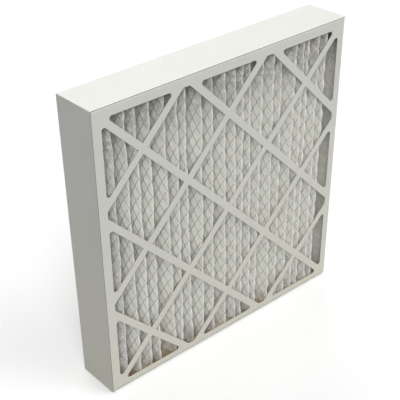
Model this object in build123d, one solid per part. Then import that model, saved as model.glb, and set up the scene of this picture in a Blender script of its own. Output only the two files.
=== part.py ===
from build123d import *
from math import atan2, cos, floor, hypot, pi, sin, sqrt
import os

# Pleated panel air filter, in millimetres. X runs across the pleats, Y through the depth, Z up.
# The origin is under the middle of the bottom edge. The front face looks towards -Y.

# Whole panel: the standard nominal 24 x 24 x 4 inch size.
panel_width = 593.7
panel_height = 593.7
panel_depth = 95.25

# Folded board, and the film of adhesive that lies between pieces bonded to each other.
board = 0.7
film = 0.2

# Die-cut face of both trays.
border = 19.0
strap_width = 14.0
strap_pitch = 196.6
border_corner = 5.0

# Outside radii of the folds. The front tray is creased sharply at the top and left and rolled softly
# at the bottom and right, where the rear tray's flange stops short of the roll.
crisp_fold = 1.5
soft_fold_bottom = 6.5
soft_fold_right = 4.0

# Tabs that close each corner of a tray: on the side flanges, glued under the top and bottom ones.
tab_length = 34.0
tab_taper = 5.0
tab_relief = 1.0
tab_bend = 2 * film

# Pleated media and the expanded metal laid on its front side. Each turn is a few flat facets.
media_thickness = 2.4
grid_thickness = 0.5
tightest_turn = 0.6
turn_facets = 5

# Spacing from the left flap to each front pleat tip in turn, and from the last tip to the right flap.
# The pack is gathered by hand, so no two pleats are alike.
tip_spacing = [36, 30, 25, 25, 36, 24, 21, 34, 26, 31, 26, 18, 20, 24, 32, 22, 31, 22, 15, 28, 18, 43]

# Openings of the expanded metal, in rows that are staggered from one flank to the next.
grid_rows = 3
grid_strand = 13.0
grid_margin = 6.0

# Sealant that beds the ends of the pleats and holds the end flaps.
bed_thickness = 4.0
strip_thickness = 1.0
strip_width = 25.0

# How far each tray's outer faces lie inside the panel's faces: the rear tray is outermost, and the
# front tray clears its flanges at the sides and its glued tabs as well at the top and bottom.
front_tray_side = board + film
front_tray_end = 2 * (board + film)
inside_side = front_tray_side + board
inside_end = front_tray_end + 2 * board + film

# The pleats end clear of the front tray's roll, and the sealant fills what is left beyond them.
pack_end = max(inside_end + film + bed_thickness + film, front_tray_end + soft_fold_bottom)
pack_side = inside_side + film + strip_thickness + film
pack_low = pack_end
pack_high = panel_height - pack_end
pack_width = panel_width - 2 * pack_side

# The turns of the sheet's mid-line leave room for the grid inside the rear ones.
grid_inner = media_thickness / 2 + film
grid_outer = grid_inner + grid_thickness
turn_radius = tightest_turn + grid_outer
front_turn_y = -panel_depth / 2 + board + film + turn_radius + grid_outer
rear_turn_y = panel_depth / 2 - board - film - turn_radius - media_thickness / 2
flap_front_y = -panel_depth / 2 + max(soft_fold_right, crisp_fold) + film

overcut = 1.0


def plank(low, high):
    """A straight-sided block between two opposite corners."""
    size = [upper - lower for lower, upper in zip(low, high)]
    return Pos(*low) * Box(*size, align=(Align.MIN, Align.MIN, Align.MIN))


# Trays. Each is drawn with its face on y = 0 and its flanges running back along +Y.


def fold_profile(half_span, length, low_fold, high_fold):
    """Section of a tray's block: flat-ended at the back, rounded along the folds of its face."""
    corners = [(-half_span, length), (-half_span, 0), (half_span, 0), (half_span, length)]
    folded = FilletPolyline(*corners, radius=[low_fold, high_fold])
    return make_face(folded + Line(corners[-1], corners[0]))


def folded_block(half_width, half_height, length, folds):
    """Block whose four front edges are rounded, each by its own fold."""
    plan = fold_profile(half_width, length, folds["left"], folds["right"])
    side_view = fold_profile(half_height, length, folds["bottom"], folds["top"])
    upright = Plane(origin=(0, 0, 0), x_dir=(0, 0, 1), z_dir=(-1, 0, 0))
    along_z = extrude(plan, amount=half_height, both=True)
    along_x = extrude(upright * side_view, amount=half_width, both=True)
    return along_z & along_x


def window_outline(window, half_across, half_up):
    """One die-cut window: rounded where it meets the border, mitred where two straps cross."""
    corners = [edge @ 0 for edge in window.outer_wire().order_edges()]
    radius = min(border_corner, min(edge.length for edge in window.edges()) / 4)
    radii = []
    for corner in corners:
        at_side = abs(abs(corner.X) - half_across) < film
        at_end = abs(abs(corner.Y) - half_up) < film
        radii.append(radius if at_side or at_end else 0)
    return make_face(FilletPolyline(*corners, radius=radii, close=True))


def lattice_windows():
    """The windows left between the border and the diagonal straps, as one flat sketch."""
    half_across = panel_width / 2 - border
    half_up = panel_height / 2 - border
    reach = half_across + half_up
    steps = floor(reach / strap_pitch)
    opening = Rectangle(2 * half_across, 2 * half_up)
    for step in range(-steps, steps + 1):
        for slope in (-45, 45):
            strap = Rectangle(2 * reach, strap_width)
            opening -= Pos(step * strap_pitch, 0) * Rot(0, 0, slope) * strap
    return [window_outline(window, half_across, half_up) for window in opening.faces()]


def corner_tab(half_width, half_height, start, end):
    """The top left tab: the side flange turns in under the top flange, with a tapered free end."""
    outer_bend = board + tab_bend
    top = half_height - board - film
    foot = top - 2 * outer_bend
    left = -half_width
    corners = [
        (left, foot),
        (left, top),
        (left + tab_length, top),
        (left + tab_length, top - board),
        (left + board, top - board),
        (left + board, foot),
    ]
    section = make_face(FilletPolyline(*corners, radius=[0, outer_bend, 0, 0, tab_bend, 0], close=True))
    turned = extrude(Plane.XZ.offset(-start) * section, amount=start - end)
    shoulder = left + outer_bend
    outline = Polygon(
        (left, start),
        (shoulder, start),
        (left + tab_length, start + tab_taper),
        (left + tab_length, end - tab_taper),
        (shoulder, end),
        (left, end),
        align=None,
    )
    return turned & extrude(Pos(0, 0, foot) * outline, amount=top - foot)


def tray(half_width, half_height, lengths, folds, windows):
    """One folded board tray. lengths and folds give each side's flange depth and fold radius."""
    length = max(lengths.values())
    inner_folds = {side: radius - board for side, radius in folds.items()}
    outside = folded_block(half_width, half_height, length, folds)
    inside = folded_block(half_width - board, half_height - board, length, inner_folds)
    body = outside - Pos(0, board, 0) * inside

    # The top and bottom flanges cover the corners, and the side flanges end in tabs beneath them.
    start = max(folds.values()) + tab_relief
    notch_foot = board + film + 2 * (board + tab_bend)
    notches = []
    tabs = []
    for side, x_sign in (("left", -1), ("right", 1)):
        for cover, z_sign in (("bottom", -1), ("top", 1)):
            end = min(lengths[side], lengths[cover])
            outer = x_sign * (half_width + overcut)
            inner = x_sign * (half_width - board)
            high = z_sign * (half_height - board)
            low = z_sign * (half_height - notch_foot)
            notches.append(plank(
                (min(outer, inner), start, min(low, high)),
                (max(outer, inner), length + overcut, max(low, high)),
            ))
            tab = corner_tab(half_width, half_height, start, end)
            if x_sign > 0:
                tab = mirror(tab, about=Plane.YZ)
            if z_sign < 0:
                tab = mirror(tab, about=Plane.XY)
            tabs.append(tab)

    # Flanges that stop short of the far face.
    trims = []
    for side, x_sign in (("left", -1), ("right", 1)):
        if lengths[side] < length:
            outer = x_sign * (half_width + overcut)
            inner = x_sign * (half_width - board)
            trims.append(plank(
                (min(outer, inner), lengths[side], board - half_height),
                (max(outer, inner), length + overcut, half_height - board),
            ))
    for side, z_sign in (("bottom", -1), ("top", 1)):
        if lengths[side] < length:
            outer = z_sign * (half_height + overcut)
            inner = z_sign * (half_height - board)
            trims.append(plank(
                (-half_width - overcut, lengths[side], min(outer, inner)),
                (half_width + overcut, length + overcut, max(outer, inner)),
            ))

    die = [
        extrude(Plane.XZ.offset(overcut) * window, amount=-(board + 2 * overcut))
        for window in windows
    ]
    body = body.cut(*notches, *trims, *die)
    return body.fuse(*tabs).clean()


def front_frame(windows):
    """The tray whose face is at the front. Its flanges end just short of the rear tray's folds."""
    flange = panel_depth - crisp_fold - film
    lengths = {"left": flange, "right": flange, "bottom": flange, "top": flange}
    folds = {
        "left": crisp_fold,
        "right": soft_fold_right,
        "bottom": soft_fold_bottom,
        "top": crisp_fold,
    }
    half_width = panel_width / 2 - front_tray_side
    half_height = panel_height / 2 - front_tray_end
    shape = tray(half_width, half_height, lengths, folds, windows)
    return Pos(0, -panel_depth / 2, panel_height / 2) * shape


def rear_frame(windows):
    """The outer tray: its face is at the back, and its flanges come forward over the front tray's."""
    lengths = {
        "left": panel_depth,
        "right": panel_depth - soft_fold_right,
        "bottom": panel_depth - soft_fold_bottom,
        "top": panel_depth,
    }
    folds = {side: crisp_fold for side in lengths}
    shape = tray(panel_width / 2, panel_height / 2, lengths, folds, windows)
    return Pos(0, panel_depth / 2, panel_height / 2) * mirror(shape, about=Plane.XZ)


# Pleated pack. The sheet's mid-line turns round a row of centres, at the front and rear by turns.


def pleat_turns():
    """Centres of the turns from left to right, each with +1 for a front tip and -1 for a rear one."""
    scale = pack_width / sum(tip_spacing)
    flap = pack_width / 2 - media_thickness / 2 - turn_radius
    tips = []
    reached = -pack_width / 2
    for spacing in tip_spacing[:-1]:
        reached += spacing * scale
        tips.append(reached)
    turns = [(Vector(-flap, rear_turn_y), -1)]
    for tip, following in zip(tips, tips[1:]):
        turns.append((Vector(tip, front_turn_y), 1))
        turns.append((Vector((tip + following) / 2, rear_turn_y), -1))
    turns.append((Vector(tips[-1], front_turn_y), 1))
    turns.append((Vector(flap, rear_turn_y), -1))
    return turns


def flank_normal(here, there):
    """Unit normal, pointing right, of the flank that crosses from one turn to the next."""
    across = there - here
    reach = hypot(across.X, across.Y)
    lean = 2 * turn_radius / reach
    upright = sqrt(1 - lean * lean)
    sign = 1 if across.Y > 0 else -1
    x = (lean * across.X + sign * upright * across.Y) / reach
    y = (lean * across.Y - sign * upright * across.X) / reach
    return Vector(x, y)


def sheet_side(turns, offset):
    """Line at a distance in front of the sheet's mid-line, as points from flap end to flap end."""
    centres = [centre for centre, _ in turns]
    normals = [Vector(1, 0)]
    normals += [flank_normal(here, there) for here, there in zip(centres, centres[1:])]
    normals += [Vector(1, 0)]
    points = []
    for (centre, facing), entering, leaving in zip(turns, normals, normals[1:]):
        radius = turn_radius + facing * offset
        start = atan2(-entering.Y, -entering.X)
        sweep = facing * ((facing * (atan2(leaving.Y, leaving.X) - start)) % (2 * pi))
        for facet in range(turn_facets + 1):
            angle = start + sweep * facet / turn_facets
            points.append(centre + Vector(cos(angle), sin(angle)) * radius)
    flap_ends = [Vector(points[end].X, flap_front_y) for end in (0, -1)]
    return [flap_ends[0], *points, flap_ends[1]]


def pleated_sheet(turns, back, front):
    """The pleated sheet between two distances from its mid-line, as tall as the pack."""
    outline = sheet_side(turns, back) + sheet_side(turns, front)[::-1]
    section = Polygon(*outline, align=None)
    return extrude(Pos(0, 0, pack_low) * section, amount=pack_high - pack_low, dir=(0, 0, 1))


def grid_openings(turns):
    """Diamond openings through each flank, with alternate flanks half a row out of step."""
    pitch = (pack_high - pack_low) / grid_rows
    middle_y = (front_turn_y + rear_turn_y) / 2
    half_wide = (rear_turn_y - front_turn_y) / 2 - grid_margin
    half_tall = (pitch - grid_strand) / 2
    diamond = Polygon((0, -half_tall), (half_wide, 0), (0, half_tall), (-half_wide, 0), align=None)
    openings = []
    for number, ((here, _), (there, _)) in enumerate(zip(turns, turns[1:])):
        staggered = number % 2
        for row in range(grid_rows - staggered):
            middle_z = pack_low + pitch * (row + (1 + staggered) / 2)
            plane = Plane(origin=(here.X, middle_y, middle_z), x_dir=(0, 1, 0), z_dir=(1, 0, 0))
            openings.append(extrude(plane * diamond, amount=there.X - here.X))
    return openings


def support_grid(turns):
    """Expanded metal laid on the front side of the media and pleated with it."""
    return pleated_sheet(turns, grid_inner, grid_outer).cut(*grid_openings(turns))


# Sealant.


def glue_bed(low):
    """Bed that the ends of the pleats stand in, from its lower face to just short of them."""
    half_across = panel_width / 2 - inside_side - film
    front = -panel_depth / 2 + soft_fold_bottom + film
    back = panel_depth / 2 - crisp_fold - film
    thickness = pack_end - inside_end - 2 * film
    return plank((-half_across, front, low), (half_across, back, low + thickness))


def glue_strip(side):
    """Squashed bead between an end flap and the flange beside it. side is -1 at the left."""
    middle = side * (panel_width / 2 - inside_side - film - strip_thickness / 2)
    low = (middle - strip_thickness / 2, -strip_width / 2, pack_low)
    high = (middle + strip_thickness / 2, strip_width / 2, pack_high)
    return plank(low, high)


def main():
    os.makedirs("parts", exist_ok=True)
    windows = lattice_windows()
    turns = pleat_turns()
    half_media = media_thickness / 2
    nodes = {
        "front_frame": front_frame(windows),
        "rear_frame": rear_frame(windows),
        "pleated_media": pleated_sheet(turns, -half_media, half_media),
        "support_grid": support_grid(turns),
        "bottom_glue_bed": glue_bed(inside_end + film),
        "top_glue_bed": glue_bed(panel_height - pack_end + film),
        "left_glue_strip": glue_strip(-1),
        "right_glue_strip": glue_strip(1),
    }
    for name, shape in nodes.items():
        export_step(shape, f"parts/{name}.step")


main()
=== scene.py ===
from math import pi, radians

import bpy
import numpy as np
from mathutils import Matrix, Vector


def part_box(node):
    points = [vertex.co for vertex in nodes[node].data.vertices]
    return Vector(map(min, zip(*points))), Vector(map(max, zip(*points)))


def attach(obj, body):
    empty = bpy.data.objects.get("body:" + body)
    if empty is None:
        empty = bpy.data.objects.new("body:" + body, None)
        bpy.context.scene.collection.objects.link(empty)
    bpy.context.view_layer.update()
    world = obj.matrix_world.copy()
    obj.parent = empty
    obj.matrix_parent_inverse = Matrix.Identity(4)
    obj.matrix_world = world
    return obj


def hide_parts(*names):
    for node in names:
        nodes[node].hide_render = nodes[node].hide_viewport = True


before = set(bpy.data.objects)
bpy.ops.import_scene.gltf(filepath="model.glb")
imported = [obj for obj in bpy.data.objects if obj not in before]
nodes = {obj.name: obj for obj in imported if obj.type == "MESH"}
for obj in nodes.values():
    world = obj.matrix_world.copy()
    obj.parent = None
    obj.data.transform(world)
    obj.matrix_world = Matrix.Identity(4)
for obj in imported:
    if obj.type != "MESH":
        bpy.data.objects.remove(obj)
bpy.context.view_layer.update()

mm = 0.001

# The panel, read from the solids, in millimetres.
panelLow, panelHigh = (np.array(corner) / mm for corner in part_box("rear_frame"))
packLow, packHigh = (np.array(corner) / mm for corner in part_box("pleated_media"))
panelWidth = panelHigh[0] - panelLow[0]
panelHeight = panelHigh[2]
frontPlane = panelLow[1]
rearPlane = panelHigh[1]
board = 0.7              # thickness of the folded board
film = 0.2               # gap that an adhesive film takes up


def linearColour(code):
    # sRGB to linear: c/12.92 below 0.04045, else ((c + 0.055)/1.055) to the power 2.4
    srgb = np.array([int(code[i:i + 2], 16) for i in (1, 3, 5)]) / 255
    linear = np.where(srgb <= 0.04045, srgb / 12.92, ((srgb + 0.055) / 1.055) ** 2.4)
    return (*linear.tolist(), 1.0)


def addNode(tree, kind, settings=None, links=None):
    node = tree.nodes.new("ShaderNode" + kind)
    for key, value in (settings or {}).items():
        if isinstance(key, str) and hasattr(node, key):
            setattr(node, key, value)
        else:
            node.inputs[key].default_value = value
    for key, source in (links or {}).items():
        tree.links.new(source, node.inputs[key])
    return node


def startMaterial(name, roughness, settings=None):
    material = bpy.data.materials.new(name)
    material.use_nodes = True
    tree = material.node_tree
    tree.nodes.clear()
    shader = addNode(tree, "BsdfPrincipled", {"Roughness": roughness, **(settings or {})})
    addNode(tree, "OutputMaterial", links={"Surface": shader.outputs["BSDF"]})
    return material, tree, shader


def dress(piece, material):
    piece.data.materials.clear()
    piece.data.materials.append(material)


def addMesh(name, points, quads, caps=(), sharpAngle=60):
    # points in millimetres; quads is an array of vertex numbers, four to a face; caps are longer faces
    mesh = bpy.data.meshes.new(name)
    corners = np.concatenate([quads.ravel(), *[np.array(cap) for cap in caps]])
    sizes = np.concatenate([np.full(len(quads), 4), np.array([len(cap) for cap in caps], int)])
    mesh.vertices.add(len(points))
    mesh.vertices.foreach_set("co", (points * mm).ravel())
    mesh.loops.add(len(corners))
    mesh.loops.foreach_set("vertex_index", corners.astype(np.int32))
    mesh.polygons.add(len(sizes))
    mesh.polygons.foreach_set("loop_start", np.concatenate([[0], np.cumsum(sizes)[:-1]]).astype(np.int32))
    mesh.update(calc_edges=True)
    mesh.validate()
    mesh.shade_smooth()
    mesh.set_sharp_from_angle(angle=radians(sharpAngle))
    piece = bpy.data.objects.new(name, mesh)
    bpy.context.scene.collection.objects.link(piece)
    return piece


# The pleated sheet: where any point of it lies.
pleat = {
    # gap from the left flap to each front tip, and from the last tip to the right flap
    "tipSpacing": [
        36, 30, 25, 25, 36, 24, 21, 34, 26, 31, 26, 18, 20, 24, 32, 22, 31, 22, 15, 28, 18, 43
    ],
    # how far each tip drifts to the right from the middle of the pack to its foot
    "tipLean": [
        1, 3, 6, 2, 6.4, 1.3, 5.3, 1.1, 2.3, 3, 4.3, 2.5, 6.2, -3.1, 2.7, 6.2, -2.3, -1.3, 2.2, 1.4, -0.4
    ],
    "frontRadius": 1.0,      # mid-line of the sheet round a front tip
    "rearRadius": 2.5,
    "halfThickness": 1.2,
    "flapStart": 4.2,        # the end flaps begin this far behind the front plane
    "waveHeight": 0.9,       # slow sideways wander of a tip
    "waveLength": 170.0,
    "rippleHeight": 0.6,     # a shorter wave on it, with its height and length as shares of the slow one
    "rippleLength": 0.43,
    "setBack": 1.2,          # how far some stretches of a tip sink behind the others
    "setBackWaves": (95.0, 61.0),    # lengths of the two waves that choose the stretches
    "bow": 0.06,             # how far a flank bulges out near its front tip, as a share of the gap
    "bowPlace": 0.22,        # where the bulge is widest, as a share of the flank from the tip
    "gridReach": 3.3,        # furthest that the swollen media stands from the mid-line
    "seed": 24,              # of the places of all these waves
}

meshLong = 31.75             # expanded metal: long way of a diamond, up the pleats
meshShort = 17.6             # short way, along the developed sheet

packWidth = packHigh[0] - packLow[0]
packMiddle = (packLow[2] + packHigh[2]) / 2
tipCount = len(pleat["tipSpacing"]) - 1
turnCount = 2 * tipCount + 1
turnFacing = np.where(np.arange(turnCount) % 2 == 1, 1.0, -1.0)      # +1 at a front tip
tipHome = packLow[0] + np.cumsum(pleat["tipSpacing"][:-1]) * packWidth / sum(pleat["tipSpacing"])
turnRadius = np.where(turnFacing > 0, pleat["frontRadius"], pleat["rearRadius"])
frontTurn = frontPlane + board + film + pleat["frontRadius"] + pleat["gridReach"]
rearTurn = rearPlane - board - film - pleat["rearRadius"] - pleat["halfThickness"]
flapCentre = packWidth / 2 - pleat["halfThickness"] - pleat["rearRadius"]
chance = np.random.default_rng(pleat["seed"])
tipPhase = chance.uniform(0, 2 * pi, (tipCount, 4))


def tipAcross(tip, z):
    # home + lean times height below the middle + a slow wander of two sines
    climb = (packMiddle - z) / (packHigh[2] - packMiddle)
    rippleLength = pleat["rippleLength"] * pleat["waveLength"]
    wander = np.sin(2 * pi * z / pleat["waveLength"] + tipPhase[tip, 0])
    wander = wander + pleat["rippleHeight"] * np.sin(2 * pi * z / rippleLength + tipPhase[tip, 1])
    return tipHome[tip] + np.array(pleat["tipLean"])[tip] * climb + pleat["waveHeight"] * wander


def turnCentre(turn, z):
    # front tips stand where tipAcross says; a rear turn is halfway between its neighbours.
    # A tip sinks by setBack times the square of a half plus half the product of two sines.
    z = z + 0.0 * turn       # the two then have one shape
    left = np.clip((turn - 1) // 2, 0, tipCount - 1)
    right = np.clip(turn // 2, 0, tipCount - 1)
    front = turn % 2 == 1
    x = np.where(front, tipAcross(left, z), (tipAcross(left, z) + tipAcross(right, z)) / 2)
    x = np.where(turn == 0, -flapCentre, x)
    x = np.where(turn == turnCount - 1, flapCentre, x)
    longWave, shortWave = pleat["setBackWaves"]
    longSine = np.sin(2 * pi * z / longWave + tipPhase[left, 2])
    shortSine = np.sin(2 * pi * z / shortWave + tipPhase[left, 3])
    sunk = 0.5 + 0.5 * longSine * shortSine
    y = np.where(front, frontTurn + pleat["setBack"] * sunk ** 2, rearTurn)
    return x, y


def flankNormal(line, z):
    # unit normal, pointing right, of the tangent that crosses over between two turns. It leans from
    # the line of centres by the angle whose sine is the sum of the radii over their distance.
    # A flap's normal is +X.
    before, after = np.clip(line - 1, 0, turnCount - 1), np.clip(line, 0, turnCount - 1)
    ax, ay = turnCentre(before, z)
    bx, by = turnCentre(after, z)
    dx, dy = bx - ax, by - ay
    flap = (line == 0) | (line == turnCount)
    anyDepth = 50.0          # keeps the root real for a flap, which has one turn and not two
    dx, dy = np.where(flap, 0.0, dx), np.where(flap, anyDepth, dy)
    reach = np.hypot(dx, dy)
    lean = (turnRadius[before] + turnRadius[after]) / reach
    upright = np.sqrt(1 - lean ** 2) * np.sign(dy)
    nx = (lean * dx + upright * dy) / reach
    ny = (lean * dy - upright * dx) / reach
    return np.where(flap, 1.0, nx), np.where(flap, 0.0, ny)


def sheetPoint(element, share, z, offset):
    # even elements are straight lines, odd ones are turns; share runs 0 to 1 along each.
    # A line goes from one turn's tangent point to the next; a turn sweeps between its two normals.
    element, share, z, offset = np.broadcast_arrays(element, share, z, offset)
    line = (element + 1) // 2
    turn = np.clip((element - 1) // 2, 0, turnCount - 1)
    isTurn = element % 2 == 1
    before = np.clip(line - 1, 0, turnCount - 1)
    after = np.clip(line, 0, turnCount - 1)
    # straight line
    nx, ny = flankNormal(line, z)
    ax, ay = turnCentre(before, z)
    bx, by = turnCentre(after, z)
    aReach = turnRadius[before] + turnFacing[before] * offset
    bReach = turnRadius[after] + turnFacing[after] * offset
    startX, startY = ax + nx * aReach, ay + ny * aReach
    endX, endY = bx - nx * bReach, by - ny * bReach
    flapEdge = frontPlane + pleat["flapStart"]
    startX, startY = np.where(line == 0, endX, startX), np.where(line == 0, flapEdge, startY)
    last = line == turnCount
    endX, endY = np.where(last, startX, endX), np.where(last, flapEdge, endY)
    # its front end bulges away from its own tip: share/place times e to the power (1 - share/place)
    fromFront = np.where(turnFacing[before] > 0, share, 1 - share) / pleat["bowPlace"]
    gap = np.abs(bx - ax) * 2 * ((line > 0) & (line < turnCount))
    bulge = turnFacing[before] * pleat["bow"] * gap * fromFront * np.exp(1 - fromFront)
    lineX = startX + (endX - startX) * share + nx * bulge
    lineY = startY + (endY - startY) * share + ny * bulge
    # turn
    cx, cy = turnCentre(turn, z)
    inX, inY = flankNormal(turn, z)
    outX, outY = flankNormal(turn + 1, z)
    facing = turnFacing[turn]
    first = np.arctan2(-inY, -inX)
    sweep = facing * np.mod(facing * (np.arctan2(outY, outX) - first), 2 * pi)
    angle = first + sweep * share
    reach = turnRadius[turn] + facing * offset
    x = np.where(isTurn, cx + reach * np.cos(angle), lineX)
    y = np.where(isTurn, cy + reach * np.sin(angle), lineY)
    return np.stack([x, y, z], -1)


# Length of each element at the pack's middle height, so that the mesh pattern runs on unbroken.
elementCount = 2 * turnCount + 1
stepsMeasured = 8            # straight steps that an element's length is added up from
elements = np.arange(elementCount)
shares = np.linspace(0, 1, stepsMeasured + 1)
measured = sheetPoint(elements[:, None], shares[None, :], packMiddle, 0.0)
elementLength = np.linalg.norm(np.diff(measured, axis=1), axis=2).sum(1)
elementStart = np.concatenate([[0], np.cumsum(elementLength)])
sheetLength = elementStart[-1]
tipAlong = (elementStart[:-1] + elementLength / 2)[3::4]     # element 3 and every fourth is a front turn

# The metal folds where its strands meet, so each tip falls on a whole number of half diamonds:
# meshPlaces are the places in the pattern of the knots, which are the sheet's ends and its tips.
meshKnots = np.concatenate([[0], tipAlong, [sheetLength]])
meshPlaces = np.round(meshKnots / (meshShort / 2)) * meshShort / 2


def strandPattern(along, z):
    # 0 on a strand and 1 in the middle of a diamond: the size of the sine of pi times a plus b,
    # times the sine of pi times a minus b, where a and b count diamonds along and up the sheet
    a = np.interp(along, meshKnots, meshPlaces) / meshShort
    b = (z - packLow[2]) / meshLong
    return np.abs(np.sin(pi * (a + b)) * np.sin(pi * (a - b)))


print("sheet", round(float(sheetLength)), "mm long")

# The media: a padded sheet, pressed in under the strands and swelling through the diamonds.
media = {
    "sections": 3,           # the one sheet is carried by this many meshes, cut deep in the rear turns
    "rowsPerDiamond": 6,
    "flankColumns": 20,
    "frontTurnColumns": 8,
    "rearTurnColumns": 4,
    "flapColumns": 12,
    "backFlankColumns": 6,
    "backFrontTurnColumns": 3,
    "backRearTurnColumns": 8,
    "crowding": 1.5,         # above 1 the columns of a flank crowd towards its front end
    "pressed": 0.4,          # front surface under a strand, from the mid-line
    "flankPuff": 0.6,        # how much further it swells inside a diamond
    "tipPuff": 2.4,          # and on a front tip on the right, where the metal opens
    "tipPuffLeft": 1.5,      # the tips on the left are tighter
    "puffChanges": (0.25, 0.65),     # shares of the sheet between which the one turns into the other
    "tipReach": 4.5,         # how far from a tip the swelling dies away
    "domePower": 0.75,       # below 1 the swelling is steeper beside a strand and flatter on top
    "swellRange": 0.28,      # how unevenly the diamonds swell
    "swellAlong": 61.0,      # lengths of a radian of the slow waves that make it uneven
    "swellUp": 83.0,
    "swellDrift": 400.0,
    "swellPhase": 1.3,
    "backPuff": 0.35,
}


def columnPlan(flank, frontTurn, rearTurn, flap):
    # element and share of every column; on a flank the share is the step's share to the power of
    # crowding, counted from the front end
    element, share = [], []
    for number in range(elementCount):
        if number in (0, elementCount - 1):
            steps = np.arange(flap) / flap
        elif number % 2 == 1:
            count = frontTurn if turnFacing[(number - 1) // 2] > 0 else rearTurn
            steps = np.arange(count) / count
        else:
            steps = np.arange(flank) / flank
            fromFront = turnFacing[number // 2 - 1] > 0
            steps = steps ** media["crowding"] if fromFront else 1 - (1 - steps) ** media["crowding"]
        element.append(np.full(len(steps), number))
        share.append(steps)
    return np.append(np.concatenate(element), elementCount - 1), np.append(np.concatenate(share), 1.0)


def columnsBetween(columns, low, high):
    # the columns of one section, with the first of the next section to close it
    element, share = columns
    kept = ((element >= low) & (element < high)) | ((element == high) & (share == 0))
    if high == elementCount:
        kept = element >= low
    return element[kept], share[kept]


def mediaSection(name, firstElement, lastElement, rows):
    # The front surface lies at pressed plus puff times dome times swell: puff falls away from a tip
    # as e to the power of minus the squared distance, dome rises between the strands, and swell
    # drifts slowly. The back surface lies at minus half the thickness. Both make one ring per row.
    element, share = columnsBetween(frontColumns, firstElement, lastElement)
    backElement, backShare = columnsBetween(backColumns, firstElement, lastElement)
    z = rows[:, None]
    along = elementStart[element] + elementLength[element] * share
    dome = strandPattern(along[None, :], z) ** media["domePower"]
    alongWave = np.sin(along[None, :] / media["swellAlong"] + media["swellPhase"])
    upWave = np.sin(z / media["swellUp"] + along[None, :] / media["swellDrift"])
    swell = 1 - media["swellRange"] + media["swellRange"] * alongWave * upWave
    changes = np.array(media["puffChanges"]) * sheetLength
    tipPuff = np.interp(along, changes, [media["tipPuffLeft"], media["tipPuff"]])
    fromTip = np.abs(along[:, None] - tipAlong[None, :]).min(1)
    puff = media["flankPuff"] + (tipPuff - media["flankPuff"]) * np.exp(-(fromTip / media["tipReach"]) ** 2)
    offset = media["pressed"] + puff[None, :] * dome * swell
    front = sheetPoint(element[None, :], share[None, :], z, offset)
    backAlong = elementStart[backElement] + elementLength[backElement] * backShare
    backDome = strandPattern(backAlong[None, :], z)
    backOffset = -pleat["halfThickness"] + media["backPuff"] * (1 - backDome)
    back = sheetPoint(backElement[None, :], backShare[None, :], z, backOffset)
    ring = np.concatenate([front, back[:, ::-1]], 1)
    rowCount, ringCount = ring.shape[:2]
    number = np.arange(rowCount * ringCount).reshape(rowCount, ringCount)
    here, there = number, np.roll(number, -1, axis=1)
    quads = np.stack([here[:-1], there[:-1], there[1:], here[1:]], -1).reshape(-1, 4)
    caps = [number[0][::-1], number[-1]]
    return addMesh(name, ring.reshape(-1, 3), quads, caps)


frontColumns = columnPlan(
    media["flankColumns"], media["frontTurnColumns"], media["rearTurnColumns"], media["flapColumns"]
)
backColumns = columnPlan(
    media["backFlankColumns"], media["backFrontTurnColumns"],
    media["backRearTurnColumns"], media["flapColumns"]
)
packTall = packHigh[2] - packLow[2]
rowStep = meshLong / media["rowsPerDiamond"]
mediaRows = np.append(np.arange(packLow[2], packHigh[2] - rowStep / 2, rowStep), packHigh[2])
# Sections begin where a flank leaves a rear turn.
cuts = [4 * round(turnCount / 2 * n / media["sections"]) + 2 for n in range(1, media["sections"])]
bounds = [0, *cuts, elementCount]
mediaPieces = []
for n, (low, high) in enumerate(zip(bounds, bounds[1:])):
    piece = mediaSection(f"pleated_media_{n + 1}", low, high, mediaRows)
    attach(piece, "root")
    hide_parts("pleated_media")
    mediaPieces.append(piece)
print("media", sum(len(piece.data.polygons) for piece in mediaPieces), "faces")

# The expanded metal: zigzag strands, each joined to its neighbours where they meet.
strand = {
    "width": 1.2,
    "thickness": 0.6,
    "offset": 1.05,          # middle of the strand, from the sheet's mid-line, on the left
    "sunkOffset": 0.8,       # and on the right, where the media has swollen round it
    "sinks": (0.45, 0.7),    # shares of the sheet between which the one turns into the other
    "steps": 4,              # pieces of each strand between two bonds
    "bond": 0.06,            # overshoot that is cut off flat, where a strand runs beside its neighbour
    "shortOfFlap": 0.01,     # the metal ends this far before the right flap, which is bare
}


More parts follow.
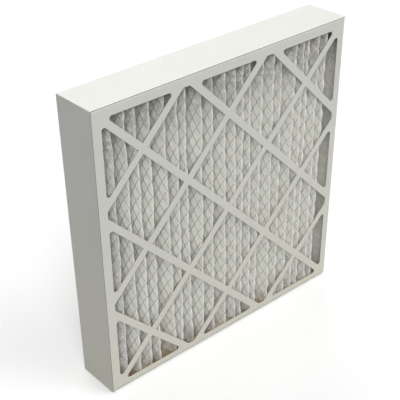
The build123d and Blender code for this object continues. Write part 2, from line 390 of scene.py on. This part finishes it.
def strandSection(name, firstWire, lastWire):
    # Strand i swings between half diamonds i and i + 1 of the pattern and changes side at every half
    # row. The triangle wave is widened by the bond and cut off flat, and the mesh map turns places in
    # the pattern into places along the sheet. A rectangle is then carried along that line.
    half = meshShort / 2
    rows = int(packTall // (meshLong / 2))
    knots = np.arange(rows * strand["steps"] + 1) / strand["steps"]
    wires = np.arange(firstWire, lastWire)[:, None]
    side = np.abs(np.mod(knots[None, :] + wires, 2.0) - 1.0)
    side = np.clip(side * (1 + 2 * strand["bond"]) - strand["bond"], 0.0, 1.0)
    along = np.interp((wires + 1 - side) * half, meshPlaces, meshKnots)
    along = np.clip(along, 0, elementStart[-2] - strand["shortOfFlap"])
    z = packLow[2] + knots[None, :] * meshLong / 2 + 0.0 * along     # one row for each strand
    element = np.searchsorted(elementStart, along, side="right") - 1
    share = (along - elementStart[element]) / elementLength[element]
    sinks = np.array(strand["sinks"]) * sheetLength
    offset = np.interp(along, sinks, [strand["offset"], strand["sunkOffset"]])
    middle = sheetPoint(element, share, z, offset)
    out = sheetPoint(element, share, z, offset + 1.0) - middle
    out /= np.linalg.norm(out, axis=2, keepdims=True)
    ahead = np.gradient(middle, axis=1)
    across = np.cross(out, ahead)
    across /= np.linalg.norm(across, axis=2, keepdims=True)
    wide, thick = strand["width"] / 2, strand["thickness"] / 2
    corners = [(-wide, -thick), (wide, -thick), (wide, thick), (-wide, thick)]
    ring = np.stack([middle + across * a + out * b for a, b in corners], 2)
    wireCount, knotCount = ring.shape[:2]
    number = np.arange(ring[..., 0].size).reshape(wireCount, knotCount, 4)
    here, there = number, np.roll(number, -1, axis=2)
    quads = np.stack([here[:, :-1], there[:, :-1], there[:, 1:], here[:, 1:]], -1).reshape(-1, 4)
    ends = np.concatenate([number[:, 0, ::-1], number[:, -1]])
    return addMesh(name, ring.reshape(-1, 3), np.concatenate([quads, ends]), sharpAngle=30)


wireTotal = int(elementStart[-2] / (meshShort / 2))      # the right flap is bare
gridPieces = []
for n in range(media["sections"]):
    low = round(wireTotal * n / media["sections"])
    high = round(wireTotal * (n + 1) / media["sections"])
    piece = strandSection(f"support_grid_{n + 1}", low, high)
    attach(piece, "root")
    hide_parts("support_grid")
    gridPieces.append(piece)
print("grid", wireTotal, "wires,", sum(len(piece.data.polygons) for piece in gridPieces), "faces")

# The materials.
boardLook = {
    "coat": "#e7e7e1",
    "coatDull": "#dfdfd9",
    "aged": "#e6e4d4",       # yellower towards the foot
    "agedFrom": 430.0,       # mm up
    "agedShare": 0.8,        # how much of it shows at the foot
    "core": "#a39a88",       # raw edge of the board round the windows
    "paintedGapShade": "#645e55",    # raw front edge of the outer tray, painted dark as shade: the shadowed gap between the two trays
    "roughness": 0.5,
    "gloss": 0.35,
    "blotch": 60.0,          # mm
    "fibre": 2.5,            # mm; real fibres are finer, drawn as coarse as they need to show
    "fibreHeight": 0.4,      # mm
    "fibreStrength": 0.08,
    "edgeFacing": 0.4,       # a face that looks less than this to the front or rear is a cut edge
    "flatFacing": 0.9,       # and one that looks more than this is flat to them
    "wallGap": 4.0,          # mm; the cut edges of the windows lie this far inside the walls, or more
}


def clayCoatedBoard(name, cutFrom, cutTo, endsBefore):
    # Clay-coated carrier board, calendered: a smooth white skin with a soft sheen, faintly mottled,
    # and a dull tan core on every die-cut edge; the outer tray's raw front edge has the gap's shade painted
    # on.
    material, tree, shader = startMaterial(
        name, boardLook["roughness"], {"Specular IOR Level": boardLook["gloss"]}
    )
    place = addNode(tree, "TexCoord").outputs["Object"]
    spot = addNode(tree, "SeparateXYZ", links={0: place})
    blotch = addNode(
        tree, "TexNoise", {"Scale": 1 / (boardLook["blotch"] * mm), "Detail": 3.0}, {"Vector": place}
    )
    skin = {6: linearColour(boardLook["coatDull"]), 7: linearColour(boardLook["coat"])}
    coat = addNode(tree, "Mix", {"data_type": "RGBA", **skin}, {0: blotch.outputs["Fac"]})
    age = addNode(
        tree, "MapRange",
        {"From Min": boardLook["agedFrom"] * mm, "From Max": 0.0, "To Max": boardLook["agedShare"]},
        {"Value": spot.outputs["Z"]},
    )
    coat = addNode(
        tree, "Mix", {"data_type": "RGBA", 7: linearColour(boardLook["aged"])},
        {0: age.outputs["Result"], 6: coat.outputs[2]},
    )
    # cut edges: faces seen edge-on, between cutFrom and cutTo, and clear of the outer walls
    geometry = addNode(tree, "NewGeometry")
    normal = addNode(tree, "SeparateXYZ", links={0: geometry.outputs["True Normal"]})
    facing = addNode(tree, "Math", {"operation": "ABSOLUTE"}, {0: normal.outputs["Y"]})
    sideways = addNode(tree, "Math", {"operation": "ABSOLUTE"}, {0: spot.outputs["X"]})
    wallInside = (panelWidth / 2 - boardLook["wallGap"]) * mm
    cut = addNode(tree, "Math", {"operation": "GREATER_THAN", 1: cutFrom * mm}, {0: spot.outputs["Y"]})
    limits = [
        (spot.outputs["Y"], cutTo * mm),
        (facing.outputs[0], boardLook["edgeFacing"]),
        (sideways.outputs[0], wallInside),
    ]
    for source, limit in limits:
        below = addNode(tree, "Math", {"operation": "LESS_THAN", 1: limit}, {0: source})
        cut = addNode(tree, "Math", {"operation": "MULTIPLY"}, {0: cut.outputs[0], 1: below.outputs[0]})
    colour = addNode(
        tree, "Mix", {"data_type": "RGBA", 7: linearColour(boardLook["core"])},
        {0: cut.outputs[0], 6: coat.outputs[2]},
    )
    # raw ends: faces flat to the front, nearer to it than endsBefore; painted shade, for the dark gap
    # between the trays
    flat = addNode(
        tree, "Math", {"operation": "GREATER_THAN", 1: boardLook["flatFacing"]}, {0: facing.outputs[0]}
    )
    early = addNode(tree, "Math", {"operation": "LESS_THAN", 1: endsBefore * mm}, {0: spot.outputs["Y"]})
    ends = addNode(tree, "Math", {"operation": "MULTIPLY"}, {0: flat.outputs[0], 1: early.outputs[0]})
    colour = addNode(
        tree, "Mix", {"data_type": "RGBA", 7: linearColour(boardLook["paintedGapShade"])},
        {0: ends.outputs[0], 6: colour.outputs[2]},
    )
    tree.links.new(colour.outputs[2], shader.inputs["Base Color"])
    fibre = addNode(
        tree, "TexNoise", {"Scale": 1 / (boardLook["fibre"] * mm), "Detail": 2.0}, {"Vector": place}
    )
    relief = {"Strength": boardLook["fibreStrength"], "Distance": boardLook["fibreHeight"] * mm}
    bump = addNode(tree, "Bump", relief, {"Height": fibre.outputs["Fac"]})
    tree.links.new(bump.outputs["Normal"], shader.inputs["Normal"])
    return material


footBrownLook = {
    "brownTint": "#74502c",
    "footHeight": 62.0,      # mm; how far up the pleats the brown reaches
    "footStrength": 0.27,
    "grain": 9.0,            # mm; size of the clumps that the brown is broken into
    "clumpFrom": 0.3,        # noise value where a clump is thinnest
    "clumpTo": 0.65,         # and where it is full
    "clumpLeast": 0.5,       # share of the brown that lies between the clumps
    # place of a brown spot in mm, its size in mm and how strong it is
    "brownSpots": [
        ((-248, -38, 14), 36, 1.0),
        ((-190, -40, 14), 30, 1.0),
        ((-150, -42, 20), 42, 0.95),
        ((-96, -42, 24), 40, 0.85),
        ((-48, -36, 14), 32, 0.85),
        ((58, -36, 18), 34, 0.55),
        ((98, -36, 18), 34, 0.95),
        ((86, -40, 242), 34, 0.10),
    ],
}


def footBrown(tree, place):
    # how much brown covers a place: the strongest of a ramp towards the foot and the spots, broken into
    # clumps
    height = addNode(tree, "SeparateXYZ", links={0: place})
    brownTop = (packLow[2] + footBrownLook["footHeight"]) * mm
    brownTint = addNode(
        tree, "MapRange",
        {"From Min": brownTop, "From Max": packLow[2] * mm, "To Max": footBrownLook["footStrength"]},
        {"Value": height.outputs["Z"]},
    ).outputs["Result"]
    for centre, size, strength in footBrownLook["brownSpots"]:
        centre = [value * mm for value in centre]
        away = addNode(tree, "VectorMath", {"operation": "DISTANCE", 1: centre}, {0: place})
        fade = addNode(
            tree, "MapRange",
            {"interpolation_type": "SMOOTHSTEP", "From Min": size * mm, "From Max": 0.0, "To Max": strength},
            {"Value": away.outputs["Value"]},
        )
        brownTint = addNode(
            tree, "Math", {"operation": "MAXIMUM"}, {0: brownTint, 1: fade.outputs["Result"]}
        ).outputs[0]
    grain = addNode(
        tree, "TexNoise", {"Scale": 1 / (footBrownLook["grain"] * mm), "Detail": 5.0, "Roughness": 0.7},
        {"Vector": place},
    )
    clumps = addNode(
        tree, "MapRange",
        {"From Min": footBrownLook["clumpFrom"], "From Max": footBrownLook["clumpTo"],
         "To Min": footBrownLook["clumpLeast"], "To Max": 1.0},
        {"Value": grain.outputs["Fac"]},
    )
    covered = addNode(tree, "Math", {"operation": "MULTIPLY"}, {0: brownTint, 1: clumps.outputs["Result"]})
    return covered.outputs[0]


mediaLook = {
    "clean": "#faf9f0",
    "worn": "#f0efe3",
    "wallShade": "#acaaa0",       # painted shade towards the left, right and top walls, where the frame shades the pleats
    # axis, mm where the painted shade starts and where it is full, and how strong it is
    "wallShadeZones": [("X", -215, -290, 1.0), ("X", 240, 296, 0.5), ("Z", 450, 580, 1.0)],
    "roughness": 0.95,
    "gloss": 0.15,
    "sheen": 0.7,            # light caught by the loose fibres
    "sheenRoughness": 0.8,
    "blotch": 35.0,          # mm
    "blotchFrom": 0.35,      # noise value where the worn colour starts
    "blotchTo": 0.75,        # and where it is full
    "blotchShare": 0.6,
    "mottle": 7.0,           # mm; thin and thick places of the web
    "mottleFrom": 0.38,      # noise value of the thinnest place
    "mottleTo": 0.60,        # and of the thickest
    "mottleShare": 0.06,
    "fibre": 1.6,            # mm; real fibres are finer, drawn as coarse as they need to show
    "fibreHeight": 0.6,      # mm
    "fibreStrength": 0.35,
}


def nonwovenMedia():
    # Cotton and polyester nonwoven, air-laid: a matt, slightly fuzzy white, with painted shade near the
    # walls and brown towards the foot.
    material, tree, shader = startMaterial(
        "nonwovenMedia", mediaLook["roughness"],
        {"Specular IOR Level": mediaLook["gloss"], "Sheen Weight": mediaLook["sheen"],
         "Sheen Roughness": mediaLook["sheenRoughness"]},
    )
    place = addNode(tree, "TexCoord").outputs["Object"]
    spot = addNode(tree, "SeparateXYZ", links={0: place})
    blotch = addNode(
        tree, "TexNoise", {"Scale": 1 / (mediaLook["blotch"] * mm), "Detail": 4.0}, {"Vector": place}
    )
    cover = addNode(
        tree, "MapRange",
        {"From Min": mediaLook["blotchFrom"], "From Max": mediaLook["blotchTo"],
         "To Min": 0.0, "To Max": mediaLook["blotchShare"]},
        {"Value": blotch.outputs["Fac"]},
    )
    cloth = {6: linearColour(mediaLook["clean"]), 7: linearColour(mediaLook["worn"])}
    base = addNode(tree, "Mix", {"data_type": "RGBA", **cloth}, {0: cover.outputs["Result"]})
    web = addNode(
        tree, "TexNoise", {"Scale": 1 / (mediaLook["mottle"] * mm), "Detail": 4.0, "Roughness": 0.65},
        {"Vector": place},
    )
    thick = addNode(
        tree, "MapRange",
        {"From Min": mediaLook["mottleFrom"], "From Max": mediaLook["mottleTo"],
         "To Min": 0.0, "To Max": 1.0},
        {"Value": web.outputs["Fac"]},
    )
    base = addNode(
        tree, "Mix", {"data_type": "RGBA", "blend_type": "MULTIPLY", 0: mediaLook["mottleShare"]},
        {6: base.outputs[2], 7: thick.outputs["Result"]},
    )
    # painted shade: greyer towards the walls, where the frame shades the pleats, thinned by the mottle
    for axis, start, full, strength in mediaLook["wallShadeZones"]:
        wallShade = addNode(
            tree, "MapRange",
            {"interpolation_type": "SMOOTHSTEP", "From Min": start * mm, "From Max": full * mm,
             "To Max": strength},
            {"Value": spot.outputs[axis]},
        )
        wallShade = addNode(
            tree, "Math", {"operation": "MULTIPLY"}, {0: wallShade.outputs["Result"], 1: thick.outputs["Result"]}
        )
        base = addNode(
            tree, "Mix", {"data_type": "RGBA", 7: linearColour(mediaLook["wallShade"])},
            {0: wallShade.outputs[0], 6: base.outputs[2]},
        )
    colour = addNode(
        tree, "Mix", {"data_type": "RGBA", 7: linearColour(footBrownLook["brownTint"])},
        {0: footBrown(tree, place), 6: base.outputs[2]},
    )
    tree.links.new(colour.outputs[2], shader.inputs["Base Color"])
    fibre = addNode(
        tree, "TexNoise", {"Scale": 1 / (mediaLook["fibre"] * mm), "Detail": 4.0}, {"Vector": place}
    )
    relief = {"Strength": mediaLook["fibreStrength"], "Distance": mediaLook["fibreHeight"] * mm}
    bump = addNode(tree, "Bump", relief, {"Height": fibre.outputs["Fac"]})
    tree.links.new(bump.outputs["Normal"], shader.inputs["Normal"])
    return material


steelLook = {
    "zinc": "#bfc1bf",
    "zincBright": "#d2d4d2",
    "roughness": 0.5,
    "metallic": 0.8,         # below 1 for the dull film that zinc weathers to
    "spangle": 8.0,          # mm
}


def galvanisedSteel():
    # Zinc-coated expanded steel: a dull grey metal with a faint spangle.
    material, tree, shader = startMaterial(
        "galvanisedSteel", steelLook["roughness"], {"Metallic": steelLook["metallic"]}
    )
    place = addNode(tree, "TexCoord").outputs["Object"]
    spangle = addNode(
        tree, "TexNoise", {"Scale": 1 / (steelLook["spangle"] * mm), "Detail": 2.0}, {"Vector": place}
    )
    zinc = {6: linearColour(steelLook["zinc"]), 7: linearColour(steelLook["zincBright"])}
    colour = addNode(tree, "Mix", {"data_type": "RGBA", **zinc}, {0: spangle.outputs["Fac"]})
    tree.links.new(colour.outputs[2], shader.inputs["Base Color"])
    return material


sealantLook = {
    "wax": "#cfc7b5",
    "dusty": "#8d7d64",
    "roughness": 0.45,
    "cloud": 28.0,           # mm
    "cloudFrom": 0.42,       # noise value where the dust starts
    "cloudTo": 0.7,          # and where it is full
    "dustShare": 0.8,
    "lump": 12.0,            # mm
    "lumpHeight": 1.0,       # mm
    "lumpStrength": 0.4,
}


def hotMeltSealant():
    # Hot-melt adhesive, poured and set: waxy, off-white, with dust stuck in it.
    material, tree, shader = startMaterial("hotMeltSealant", sealantLook["roughness"])
    place = addNode(tree, "TexCoord").outputs["Object"]
    cloud = addNode(
        tree, "TexNoise", {"Scale": 1 / (sealantLook["cloud"] * mm), "Detail": 5.0, "Roughness": 0.65},
        {"Vector": place},
    )
    cover = addNode(
        tree, "MapRange",
        {"From Min": sealantLook["cloudFrom"], "From Max": sealantLook["cloudTo"],
         "To Max": sealantLook["dustShare"]},
        {"Value": cloud.outputs["Fac"]},
    )
    wax = {6: linearColour(sealantLook["wax"]), 7: linearColour(sealantLook["dusty"])}
    colour = addNode(tree, "Mix", {"data_type": "RGBA", **wax}, {0: cover.outputs["Result"]})
    colour = addNode(
        tree, "Mix", {"data_type": "RGBA", 7: linearColour(footBrownLook["brownTint"])},
        {0: footBrown(tree, place), 6: colour.outputs[2]},
    )
    tree.links.new(colour.outputs[2], shader.inputs["Base Color"])
    lump = addNode(tree, "TexNoise", {"Scale": 1 / (sealantLook["lump"] * mm)}, {"Vector": place})
    relief = {"Strength": sealantLook["lumpStrength"], "Distance": sealantLook["lumpHeight"] * mm}
    bump = addNode(tree, "Bump", relief, {"Height": lump.outputs["Fac"]})
    tree.links.new(bump.outputs["Normal"], shader.inputs["Normal"])
    return material


edgeSlack = 0.05             # mm past the board's inner face, so that a cut edge is coloured to its end
outside = 1.0                # mm past the outer face, where there is no board
outerLip = 10.0              # the outer tray's raw front edge lies within this of the front plane
dress(nodes["front_frame"], clayCoatedBoard(
    "clayCoatedBoardFront", frontPlane - outside, frontPlane + board + edgeSlack, frontPlane - outside
))
dress(nodes["rear_frame"], clayCoatedBoard(
    "clayCoatedBoardRear", rearPlane - board - edgeSlack, rearPlane + outside, frontPlane + outerLip
))
mediaMaterial = nonwovenMedia()
for piece in mediaPieces:
    dress(piece, mediaMaterial)
metalMaterial = galvanisedSteel()
for piece in gridPieces:
    dress(piece, metalMaterial)
sealantMaterial = hotMeltSealant()
for name in ("bottom_glue_bed", "top_glue_bed", "left_glue_strip", "right_glue_strip"):
    dress(nodes[name], sealantMaterial)
print("materials done")

# The studio: a pale floor and four soft lights.
studio = {
    # where each soft light stands, as seen from the object, its strength and its width in degrees
    "lights": {
        "overhead": ((0.0, -0.10, 1.0), 0.73, 50.0),
        "key": ((-0.507, -0.641, 0.577), 1.66, 40.0),
        "fill": ((0.55, -0.55, 0.62), 1.27, 50.0),
        "back": ((0.25, 0.80, 0.55), 1.25, 60.0),
    },
    "ambient": 0.02,
    "floorSize": 14.0,                   # m
    "floorSeen": "#fcfcfc",
    "floorBounce": "#787878",
    "floorGlow": 0.10,                   # lifts the seen floor to white and leaves its shadow
}


def seenRays(tree):
    # 1 where the camera sees a surface, straight or in gloss or glass, and 0 where it only gives light
    path = addNode(tree, "LightPath").outputs
    seen = path["Is Camera Ray"]
    for other in ("Is Glossy Ray", "Is Transmission Ray"):
        seen = addNode(tree, "Math", {"operation": "MAXIMUM"}, {0: seen, 1: path[other]}).outputs[0]
    return seen


# A dim even light all round, seen as plain white.
world = bpy.data.worlds.new("studioWorld")
bpy.context.scene.world = world
world.use_nodes = True
tree = world.node_tree
tree.nodes.clear()
ambient = addNode(tree, "Background", {"Color": (1, 1, 1, 1), "Strength": studio["ambient"]})
white = addNode(tree, "Background", {"Color": (1, 1, 1, 1), "Strength": 1.0})
both = addNode(tree, "MixShader", links={0: seenRays(tree), 1: ambient.outputs[0], 2: white.outputs[0]})
addNode(tree, "OutputWorld", links={"Surface": both.outputs[0]})

# Seamless studio paper: matt, almost white to the eye, and darker in the light that it throws back.
half = studio["floorSize"] / 2
floorMesh = bpy.data.meshes.new("floor")
floorCorners = [(-half, -half, 0), (half, -half, 0), (half, half, 0), (-half, half, 0)]
floorMesh.from_pydata(floorCorners, [], [(0, 1, 2, 3)])
floor = bpy.data.objects.new("floor", floorMesh)
bpy.context.scene.collection.objects.link(floor)
floorMaterial = bpy.data.materials.new("paperSweep")
floorMaterial.use_nodes = True
tree = floorMaterial.node_tree
tree.nodes.clear()
dim = addNode(tree, "BsdfDiffuse", {"Color": linearColour(studio["floorBounce"])})
pale = addNode(tree, "BsdfDiffuse", {"Color": linearColour(studio["floorSeen"])})
glow = addNode(tree, "Emission", {"Strength": studio["floorGlow"]})
pale = addNode(tree, "AddShader", links={0: pale.outputs[0], 1: glow.outputs[0]})
both = addNode(tree, "MixShader", links={0: seenRays(tree), 1: dim.outputs[0], 2: pale.outputs[0]})
addNode(tree, "OutputMaterial", links={"Surface": both.outputs[0]})
dress(floor, floorMaterial)

for name, (towards, strength, width) in studio["lights"].items():
    light = bpy.data.lights.new(name, "SUN")
    light.energy = strength
    light.angle = radians(width)
    lightObject = bpy.data.objects.new(name, light)
    lightObject.rotation_euler = Vector(towards).to_track_quat("Z", "Y").to_euler()
    bpy.context.scene.collection.objects.link(lightObject)

# The camera, as a pinhole with a shifted frame.
view = {
    "focal": 924.3,                      # in pixels of a 400 pixel frame
    "frame": 400,
    "sensor": 36.0,
    "centre": (164.4, 265.7),            # where the optical axis meets the frame
    "place": (-1.732, -1.848, 1.561),    # from the middle of the front face, in panel widths
    "right": (0.7703, -0.6369, -0.0309),
    "down": (-0.387, -0.4285, -0.8165),
    "forward": (0.5068, 0.6409, -0.5765),
    "clipEnd": 50.0,                     # m
}
cameraData = bpy.data.cameras.new("camera")
cameraData.sensor_width = view["sensor"]
cameraData.lens = view["focal"] / view["frame"] * view["sensor"]
cameraData.shift_x = (view["frame"] / 2 - view["centre"][0]) / view["frame"]
cameraData.shift_y = (view["centre"][1] - view["frame"] / 2) / view["frame"]
cameraData.clip_end = view["clipEnd"]
camera = bpy.data.objects.new("camera", cameraData)
turn = Matrix((view["right"], [-v for v in view["down"]], [-v for v in view["forward"]])).transposed()
camera.rotation_euler = turn.to_euler()
faceMiddle = Vector((0, frontPlane * mm, panelHeight / 2 * mm))
camera.location = faceMiddle + Vector(view["place"]) * panelWidth * mm
bpy.context.scene.collection.objects.link(camera)
bpy.context.scene.camera = camera
bpy.context.scene.view_settings.view_transform = "Standard"
print("studio and camera done")
